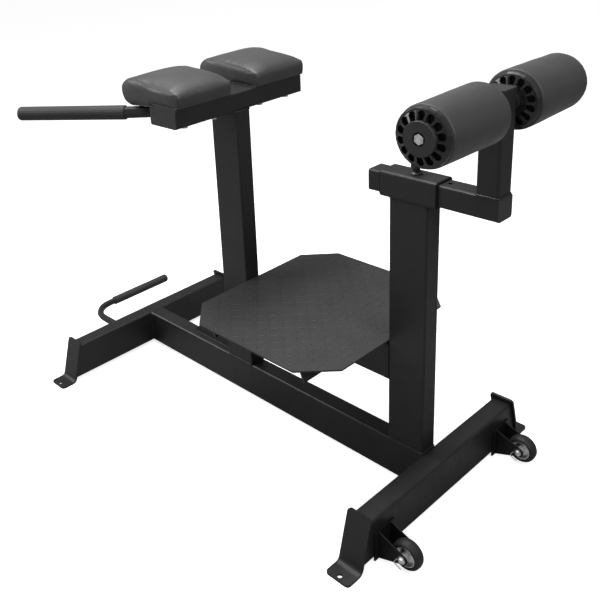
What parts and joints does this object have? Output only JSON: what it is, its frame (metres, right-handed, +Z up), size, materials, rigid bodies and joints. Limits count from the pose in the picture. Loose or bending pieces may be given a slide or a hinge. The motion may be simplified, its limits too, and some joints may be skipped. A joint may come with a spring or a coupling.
{
  "type": "horizontal hyperextension bench",
  "caption": "Floor-standing horizontal hyperextension bench with split hip pads, a step plate, a sliding carriage with foam foot rollers and transport castors.",
  "frame": {"origin": "on the floor, at the middle of the bench's bounding box", "axes": "+X along the bench towards the foot rollers, +Y across it, +Z up"},
  "size_m": [1.4862, 0.795, 1.054],
  "materials": {
    "painted_steel": "satin",
    "plate_paint": "satin",
    "fork_paint": "satin",
    "pad_vinyl": "satin",
    "roller_skin": "satin",
    "pad_board_ply": "matte",
    "grip_rubber": "matte",
    "tyre_rubber": "matte",
    "black_plastic": "satin",
    "hub_plastic": "satin",
    "liner_plastic": "matte",
    "zinc_fastener": "satin",
    "axle_steel": "satin",
    "wheel_hub_zinc": "satin",
    "spring_steel": "satin"
  },
  "bodies": {
    "frame": {"rear_cross_beam": "painted_steel", "front_cross_beam": "painted_steel", "central_beam": "painted_steel", "rear_foot_near": "painted_steel", "rear_foot_far": "painted_steel", "front_foot_near": "painted_steel", "front_foot_far": "painted_steel", "hip_post": "painted_steel", "roller_post": "painted_steel", "hip_post_gusset": "painted_steel", "step_rail": "painted_steel", "step_angle_rear": "painted_steel", "step_angle_front": "painted_steel", "step_plate": "plate_paint", "hip_beam": "painted_steel", "hip_beam_cap_near": "black_plastic", "hip_beam_cap_far": "black_plastic", "pad_bolt_near_inner": "zinc_fastener", "pad_bolt_near_outer": "zinc_fastener", "pad_bolt_far_inner": "zinc_fastener", "pad_bolt_far_outer": "zinc_fastener", "hip_pad_board_near": "pad_board_ply", "hip_pad_board_far": "pad_board_ply", "hip_pad_near": "pad_vinyl", "hip_pad_far": "pad_vinyl", "hip_handle_tube": "painted_steel", "hip_handle_grip": "grip_rubber", "lift_handle_tube": "painted_steel", "lift_handle_grip": "grip_rubber", "slide_sleeve": "painted_steel", "sleeve_liner_rear": "liner_plastic", "sleeve_liner_front": "liner_plastic", "lock_pin_housing": "painted_steel", "lock_spring": "spring_steel", "caster_fork_near": "fork_paint", "caster_fork_far": "fork_paint", "caster_axle_bolt_near": "zinc_fastener", "caster_axle_bolt_far": "zinc_fastener"},
    "roller_carriage": {"slide_bar": "painted_steel", "slide_bar_cap_rear": "black_plastic", "slide_bar_cap_front": "black_plastic", "roller_upright": "painted_steel", "roller_upright_cap": "black_plastic", "roller_axle": "axle_steel", "roller_retaining_disc_near": "black_plastic", "roller_retaining_disc_far": "black_plastic", "roller_end_bolt_near": "zinc_fastener", "roller_end_bolt_far": "zinc_fastener"},
    "lock_plunger": {"lock_pin": "zinc_fastener", "lock_knob": "black_plastic"},
    "near_roller": {"roller_foam_near": "roller_skin", "roller_hub_near_outer": "hub_plastic", "roller_hub_near_inner": "hub_plastic"},
    "far_roller": {"roller_foam_far": "roller_skin", "roller_hub_far_outer": "hub_plastic", "roller_hub_far_inner": "hub_plastic"},
    "near_caster": {"caster_tyre_near": "tyre_rubber", "caster_wheel_hub_near": "wheel_hub_zinc"},
    "far_caster": {"caster_tyre_far": "tyre_rubber", "caster_wheel_hub_far": "wheel_hub_zinc"}
  },
  "joints": [
    {"name": "roller_adjust", "type": "slide", "parent": "frame", "child": "roller_carriage", "axis": [1, 0, 0], "range_m": [-0.084, 0.056]},
    {"name": "lock_pin_travel", "type": "slide", "parent": "frame", "child": "lock_plunger", "axis": [0, 0, 1], "range_m": [-0.008, 0], "stiffness_N_per_m": 400, "springref_m": -0.012, "deforming": ["lock_spring"]},
    {"name": "near_roller_spin", "type": "hinge", "parent": "roller_carriage", "child": "near_roller", "pos_m": [0.6811, -0.14627, 0.992], "axis": [0, 1, 0], "continuous": true},
    {"name": "far_roller_spin", "type": "hinge", "parent": "roller_carriage", "child": "far_roller", "pos_m": [0.6811, 0.15523, 0.992], "axis": [0, 1, 0], "continuous": true},
    {"name": "near_caster_spin", "type": "hinge", "parent": "frame", "child": "near_caster", "pos_m": [0.6611, -0.23852, 0.042], "axis": [0, 1, 0], "continuous": true},
    {"name": "far_caster_spin", "type": "hinge", "parent": "frame", "child": "far_caster", "pos_m": [0.6611, 0.24748, 0.042], "axis": [0, 1, 0], "continuous": true}
  ]
}
